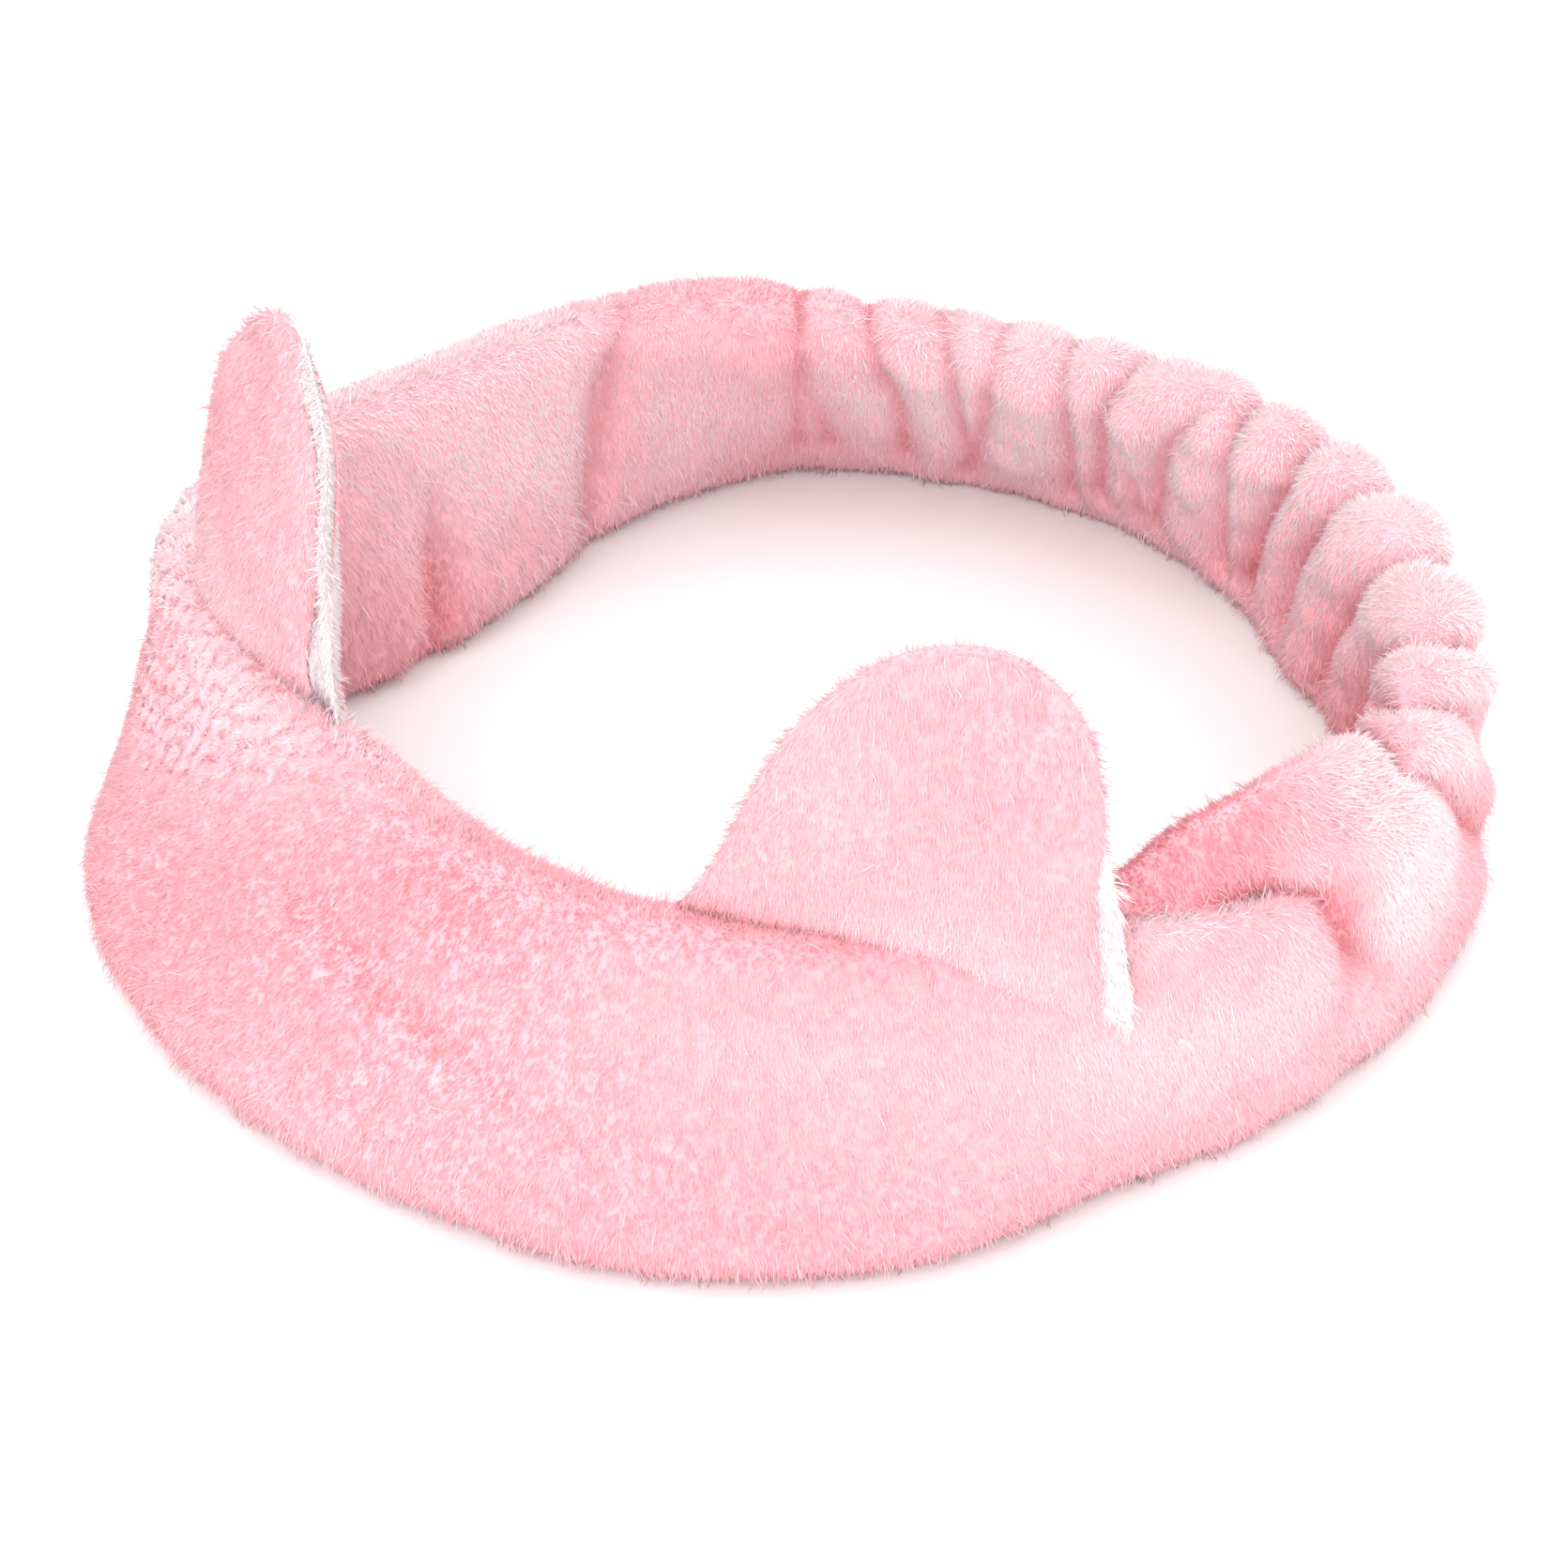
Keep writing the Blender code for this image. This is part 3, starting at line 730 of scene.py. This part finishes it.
def ear_face(side, sign, grow, bulge, at_base):
    """A domed face of an ear from its base's middle to its edge, by column round and row outwards."""
    edge = smooth_path(EAR_OUTLINES[side], EAR_COLUMNS)
    middle = np.array(((edge[0, 0] + edge[-1, 0]) / 2, EAR_FAN_MIDDLE))
    ray = edge - middle
    rim_share = smooth(*EAR_RIM_FROM[side], edge[:, :1] * EAR_RIM_SIDE[side])
    rim = grow * rim_share - (BACK_SMALLER if sign < 0 else 0.0)
    ray *= 1 + rim / np.linalg.norm(ray, axis=1, keepdims=True)
    share = np.linspace(0.004, 1, EAR_ROWS)
    reach = np.sin(share * math.pi / 2) ** 0.9
    flat = middle + ray[:, None, :] * reach[None, :, None]
    x, z = flat[..., 0], flat[..., 1]
    rise = smooth(0.0, 0.4 * EAR_HEIGHT, z)
    edge_round = np.sqrt(np.clip(1 - reach**4, 0, 1))[None, :] * np.ones_like(x)
    sway = 0.7 * np.sin(x * 0.16 + z * 0.10 + 1.0) + 0.35 * np.sin(x * 0.31 - z * 0.23)
    y = sign * (HALVES_APART + (at_base + (bulge - at_base) * rise) * edge_round) + sway * rise
    if sign < 0:
        # Along its showing side the back's cloth turns forwards over the seam.
        y += BACK_WRAP[side] * rim_share * smooth(0.84, 1.0, reach)[None, :]
    tone = 0.46 + 0.10 * np.sin(x * 0.12 + 0.6) * np.cos(z * 0.11) + 0.12 * (1 - rise)
    return ear_point(side, x, y, z), tone, rim_share


def ear_object(name, side, sign, grow, bulge, cloth):
    """Half of the ear's pillow, closed behind by its inner face."""
    outer, tone, rim_share = ear_face(side, sign, grow, bulge, AT_BASE)
    inner = ear_face(side, sign, grow, AT_INNER_FACE, AT_INNER_FACE)[0]
    columns, rows = outer.shape[:2]
    points = np.vstack((outer.reshape(-1, 3), inner.reshape(-1, 3)))
    size = columns * rows
    faces = []
    for i in range(columns - 1):
        for j in range(rows - 1):
            a = i * rows + j
            b, c, d = a + rows, a + rows + 1, a + 1
            faces += [(a, b, c, d), (size + a, size + d, size + c, size + b)]
        a = i * rows + rows - 1
        faces.append((a, a + rows, size + a + rows, size + a))
        a = i * rows
        faces.append((a, size + a, size + a + rows, a + rows))
    for j in range(rows - 1):
        a, b = j, (columns - 1) * rows + j
        faces += [(a, a + 1, size + a + 1, size + a), (b, size + b, size + b + 1, b + 1)]
    obj = make_mesh(name, points, faces, cloth)
    shell = bmesh.new()
    shell.from_mesh(obj.data)
    bmesh.ops.remove_doubles(shell, verts=shell.verts, dist=1e-5)
    bmesh.ops.recalc_face_normals(shell, faces=shell.faces)
    shell.to_mesh(obj.data)
    shell.free()
    obj.data.shade_smooth()
    return obj, outer, inner, tone, rim_share


# Heights on the ear of two points where it would bend away from its sewn base; they are worked out but
# not used.
BEND_FROM, BEND_TO = 0.0, 10.0


def bend_at_base(pieces, side):
    """Bakes each piece's placement into its mesh. The bend's two points are worked out but not used, and
    the ear does not fold.
    """
    start, end = (
        tuple(ear_point(side, np.zeros(1), np.zeros(1), np.full(1, height))[0] * MM)
        for height in (BEND_FROM, BEND_TO)
    )
    for piece in pieces:
        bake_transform(piece)


THREAD_SIDES = 8


def thread_object(name, points, radius, closed, material):
    """A round thread along a run of points, in millimetres."""
    points = np.asarray(points, float)
    if closed:
        tangent = np.roll(points, -1, 0) - np.roll(points, 1, 0)
    else:
        tangent = np.gradient(points, axis=0)
    tangent /= np.linalg.norm(tangent, axis=1, keepdims=True)
    helper = np.where(np.abs(tangent[:, 2:]) < 0.9, (0.0, 0.0, 1.0), (1.0, 0.0, 0.0))
    across = np.cross(tangent, helper)
    across /= np.linalg.norm(across, axis=1, keepdims=True)
    other = np.cross(tangent, across)
    turn = (np.arange(THREAD_SIDES) * 2 * math.pi / THREAD_SIDES)[None, :, None]
    ring = across[:, None] * np.cos(turn) + other[:, None] * np.sin(turn)
    count = len(points)
    faces = []
    for i in range(count if closed else count - 1):
        n = (i + 1) % count
        a, b = i * THREAD_SIDES, n * THREAD_SIDES
        for j in range(THREAD_SIDES):
            k = (j + 1) % THREAD_SIDES
            faces.append((a + j, a + k, b + k, b + j))
    if not closed:
        faces.append(tuple(range(THREAD_SIDES - 1, -1, -1)))
        faces.append(tuple(range((count - 1) * THREAD_SIDES, count * THREAD_SIDES)))
    return make_mesh(name, (points[:, None] + ring * radius).reshape(-1, 3), faces, material)


EAR_CLUMPS, EAR_HAIRS, RIM_CLUMPS = 0.06, 2.0, 0.2
for side in ("left", "right"):
    for face, sign, grow, cloth, palette, slot in (
        ("front", 1, FRONT_RIM[side], pink_cloth, pinks, "pink_plush"),
        ("back", -1, BACK_RIM[side], white_cloth, whites, "white_plush"),
    ):
        panel, outer, inner, tone, rim_share = ear_object(
            f"{side}_ear_{face}_plush", side, sign, grow, EAR_BULGE[side], cloth
        )
        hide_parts(f"{side}_ear_{face}")
        normal = np.cross(np.gradient(outer, axis=0), np.gradient(outer, axis=1))
        normal /= np.linalg.norm(normal, axis=-1, keepdims=True) + 1e-9
        normal *= np.sign(normal[30, 12] @ ear_axes(side)[1]) * sign
        # Towards its edge the cloth turns over the seam, and its fibres point outwards.
        reach = np.linspace(0, 1, outer.shape[1])[None, :, None]
        away = outer - outer[:, :1]
        away /= np.linalg.norm(away, axis=-1, keepdims=True) + 1e-9
        normal = normal + away * smooth(0.85, 1.0, reach) * 0.9
        if sign < 0:
            turned = rim_share[..., None] * smooth(0.8, 0.9, reach)
            normal = normal * (1 - turned) + (away * 0.7 + ear_axes(side)[1] * 0.9) * turned
        normal /= np.linalg.norm(normal, axis=-1, keepdims=True)
        edges = 0.04 + smooth(0.8, 0.97, reach[..., 0]) * np.ones_like(tone)
        tufts = pile_all(
            f"{side}_ear_{face}", outer, normal, tone, edges, palette, EAR_CLUMPS, EAR_HAIRS
        )
        if sign < 0:
            rim = rim_share * smooth(0.34, 0.44, reach[..., 0])
            ahead = ear_axes(side)[1] + away * 0.5
            ahead /= np.linalg.norm(ahead, axis=-1, keepdims=True)
            rim_name, hairy = f"{side}_ear_rim", rim * edges
            tufts += pile_all(rim_name, inner, ahead, tone, hairy, palette, RIM_CLUMPS, cover=rim)
        bend_at_base([panel, *tufts], side)


# --- threads and what is inside ---------------------------------------------------------------------


def twisted_thread(name, colour):
    """A matt finish with fine streaks, for threads and for what is inside."""
    material = bpy.data.materials.new(name)
    material.use_nodes = True
    nodes, links = material.node_tree.nodes, material.node_tree.links
    shader = nodes["Principled BSDF"]
    place = nodes.new("ShaderNodeTexCoord")
    strands = nodes.new("ShaderNodeTexNoise")
    strands.inputs["Scale"].default_value = 900.0
    links.new(place.outputs["Object"], strands.inputs["Vector"])
    ramp = nodes.new("ShaderNodeValToRGB")
    ramp.color_ramp.elements[0].color = (*[c * 0.8 for c in colour], 1.0)
    ramp.color_ramp.elements[1].color = (*colour, 1.0)
    links.new(strands.outputs["Fac"], ramp.inputs["Fac"])
    links.new(ramp.outputs["Color"], shader.inputs["Base Color"])
    shader.inputs["Roughness"].default_value = 0.7
    return material


INSIDE_COLOURS = {
    "thread": (0.92, 0.42, 0.47),
    "foam_pad": (0.90, 0.87, 0.80),
    "wadding": (0.92, 0.91, 0.88),
    "elastic_strip": (0.86, 0.86, 0.86),
}
finishes = {}
for key, colour in INSIDE_COLOURS.items():
    finish = finishes[key] = twisted_thread(f"{key}_finish", colour)
    for name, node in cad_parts.items():
        if key in name:
            for material_slot in node.material_slots:
                material_slot.material = finish

JOIN_THREAD, JOIN_THREAD_INSET, JOIN_POINTS = 0.35, 3.0, 160
for name, angle in (("right_join", BAND_END), ("left_join", BAND_START)):
    straight = float(section_at(np.array(angle))[3])
    rim = rim_length(straight)
    around = (np.arange(JOIN_POINTS) + 0.5) / JOIN_POINTS * rim - rim / 2
    on_rim, outward = surface(np.full(JOIN_POINTS, angle), around)
    path = on_rim - outward * JOIN_THREAD_INSET
    ring = thread_object(f"{name}_stitches", path, JOIN_THREAD, True, finishes["thread"])
    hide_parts(f"{name}_thread")
    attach(ring, "front_band")
# The elastic inside the gathers, as one fixed strip.
STRIP_START, STRIP_END, STRIP_EDGE, STRIP_THICK, STRIP_STEPS = 96.0, 211.0, 9.0, 0.5, 120
STRIP_CORNERS = ((-1, -1), (-1, 1), (1, 1), (1, -1))
strip_angles = np.linspace(STRIP_START, STRIP_END, STRIP_STEPS)
middle, up, out, straight = section_at(strip_angles)
reach = (straight / 2 - STRIP_EDGE + HALF)[:, None]
corners = np.stack(
    [middle + up * reach * high + out * STRIP_THICK * deep for high, deep in STRIP_CORNERS], 1
)
last = 4 * STRIP_STEPS - 1
faces = [(0, 1, 2, 3), (last, last - 1, last - 2, last - 3)]
for i in range(STRIP_STEPS - 1):
    for j in range(4):
        k = (j + 1) % 4
        faces.append((i * 4 + j, (i + 1) * 4 + j, (i + 1) * 4 + k, i * 4 + k))
strip = make_mesh("elastic_webbing", corners.reshape(-1, 3), faces, finishes["elastic_strip"])
strip.data.shade_flat()
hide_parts("elastic_strip")
stretch_with_back([strip])

# How far the wadding reaches towards the side where the white cloth shows.
WADDING_REACH = {"left": 6.0, "right": 15.0}
WADDING_COLUMNS, WADDING_ROWS, WADDING_SHARE, WADDING_HALF = 48, 10, 0.86, 0.45
WADDING_MIDDLE, WADDING_LOWEST = 6.0, 1.0
# The stitches along an ear's edge, and those that sew its base down into the band.
EDGE_POINTS, EDGE_INSET, EDGE_THREAD = 90, 0.9, 0.2
BASE_POINTS, BASE_Y, BASE_Z, BASE_THREAD = 60, -0.2, -4.2, 0.3
for side in ("left", "right"):
    edge = smooth_path(EAR_OUTLINES[side], EDGE_POINTS)[3:-3]
    edge = edge * (1 - EDGE_INSET / np.linalg.norm(edge, axis=1, keepdims=True))
    path = ear_point(side, edge[:, 0], np.zeros(len(edge)), edge[:, 1])
    stitches = thread_object(f"{side}_ear_edge_stitches", path, EDGE_THREAD, False, finishes["thread"])
    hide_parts(f"{side}_ear_edge_thread")
    bend_at_base([stitches], side)
    base = np.linspace(EAR_OUTLINES[side][1][0], EAR_OUTLINES[side][-2][0], BASE_POINTS)
    path = ear_point(side, base, np.full(BASE_POINTS, BASE_Y), np.full(BASE_POINTS, BASE_Z))
    stitches = thread_object(f"{side}_ear_base_stitches", path, BASE_THREAD, False, finishes["thread"])
    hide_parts(f"{side}_ear_base_thread")
    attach(stitches, "front_band")
    # The wadding between the ear's two cloths.
    flat = smooth_path(EAR_OUTLINES[side], WADDING_COLUMNS)
    middle = np.array(((flat[0, 0] + flat[-1, 0]) / 2, WADDING_MIDDLE))
    flat = middle + (flat - middle) * WADDING_SHARE
    flat[:, 1] = np.maximum(flat[:, 1], WADDING_LOWEST)
    rim_side = EAR_RIM_SIDE[side]
    flat[:, 0] = np.minimum(flat[:, 0] * rim_side, WADDING_REACH[side]) * rim_side
    share = np.linspace(0.05, 1, WADDING_ROWS)
    inside = middle + (flat - middle)[:, None] * share[None, :, None]
    thick = WADDING_HALF * np.sqrt(1.02 - share**2)[None] * np.ones(WADDING_COLUMNS)[:, None]
    halves = [ear_point(side, inside[..., 0], sign * thick, inside[..., 1]) for sign in (1, -1)]
    rows, half = WADDING_ROWS, WADDING_COLUMNS * WADDING_ROWS
    faces = []
    for i in range(WADDING_COLUMNS):
        n = (i + 1) % WADDING_COLUMNS
        for j in range(rows - 1):
            a, b = i * rows + j, n * rows + j
            faces += [(a, b, b + 1, a + 1), (half + a, half + a + 1, half + b + 1, half + b)]
        a, b = i * rows + rows - 1, n * rows + rows - 1
        faces.append((a, b, half + b, half + a))
    faces.append(tuple(i * rows for i in range(WADDING_COLUMNS - 1, -1, -1)))
    faces.append(tuple(half + i * rows for i in range(WADDING_COLUMNS)))
    wadding = make_mesh(
        f"{side}_ear_fill", np.vstack([h.reshape(-1, 3) for h in halves]), faces, finishes["wadding"]
    )
    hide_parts(f"{side}_ear_wadding")
    bend_at_base([wadding], side)


# --- floor, light and camera ------------------------------------------------------------------------


# The studio's lights: name, place in metres, size in metres and power in watts.
LIGHTS = (
    ("key", (-0.45, -0.35, 1.1), 0.8, 1.4),
    ("fill", (0.75, -0.9, 0.55), 0.9, 2.2),
    ("front", (0.15, -0.95, 0.85), 0.9, 4.5),
    ("back", (0.1, 0.9, 0.8), 0.9, 2.0),
)
LIT_POINT = Vector((0, 0, 0.02))
WORLD_COLOUR, WORLD_STRENGTH = (1.0, 0.975, 0.98, 1), 1.36


def studio():
    """The pale floor, the even light all round and four soft lamps."""
    bpy.ops.mesh.primitive_plane_add(size=6.0, location=(0, 0, 0))
    floor = bpy.context.object
    floor.name = "floor"
    material = bpy.data.materials.new("floor_white")
    material.use_nodes = True
    shader = material.node_tree.nodes["Principled BSDF"]
    shader.inputs["Base Color"].default_value = (0.93, 0.93, 0.93, 1.0)
    shader.inputs["Roughness"].default_value = 0.9
    shader.inputs["Specular IOR Level"].default_value = 0.1
    floor.data.materials.append(material)
    world = bpy.data.worlds.new("studio")
    bpy.context.scene.world = world
    world.use_nodes = True
    background = world.node_tree.nodes["Background"]
    background.inputs["Color"].default_value = WORLD_COLOUR
    background.inputs["Strength"].default_value = WORLD_STRENGTH
    for name, place, size, power in LIGHTS:
        light = bpy.data.lights.new(name, "AREA")
        light.size = size
        light.energy = power
        lamp = bpy.data.objects.new(name, light)
        bpy.context.scene.collection.objects.link(lamp)
        lamp.location = place
        lamp.rotation_euler = (LIT_POINT - Vector(place)).to_track_quat("-Z", "Y").to_euler()


CAMERA_AZIMUTH, CAMERA_ELEVATION = 35.0, 38.0
CAMERA_DISTANCE = 0.528
CAMERA_LENS = 86.18
CAMERA_ASIDE = -0.004356


def camera():
    """The camera at the photograph's viewing angle."""
    azimuth, elevation = math.radians(CAMERA_AZIMUTH), math.radians(CAMERA_ELEVATION)
    back = Vector(
        (
            math.sin(azimuth) * math.cos(elevation),
            -math.cos(azimuth) * math.cos(elevation),
            math.sin(elevation),
        )
    )
    right = Vector((math.cos(azimuth), math.sin(azimuth), 0.0))
    up = back.cross(right)
    place = Matrix((right, up, back)).transposed().to_4x4()
    target = Vector(CENTRE * MM) + right * CAMERA_ASIDE
    place.translation = target + back * CAMERA_DISTANCE
    lens = bpy.data.cameras.new("camera")
    lens.lens = CAMERA_LENS
    lens.sensor_width = 36.0
    lens.clip_start = 0.01
    viewer = bpy.data.objects.new("camera", lens)
    viewer.matrix_world = place
    bpy.context.scene.collection.objects.link(viewer)
    bpy.context.scene.camera = viewer


studio()
camera()
bpy.context.scene.view_settings.view_transform = "Standard"
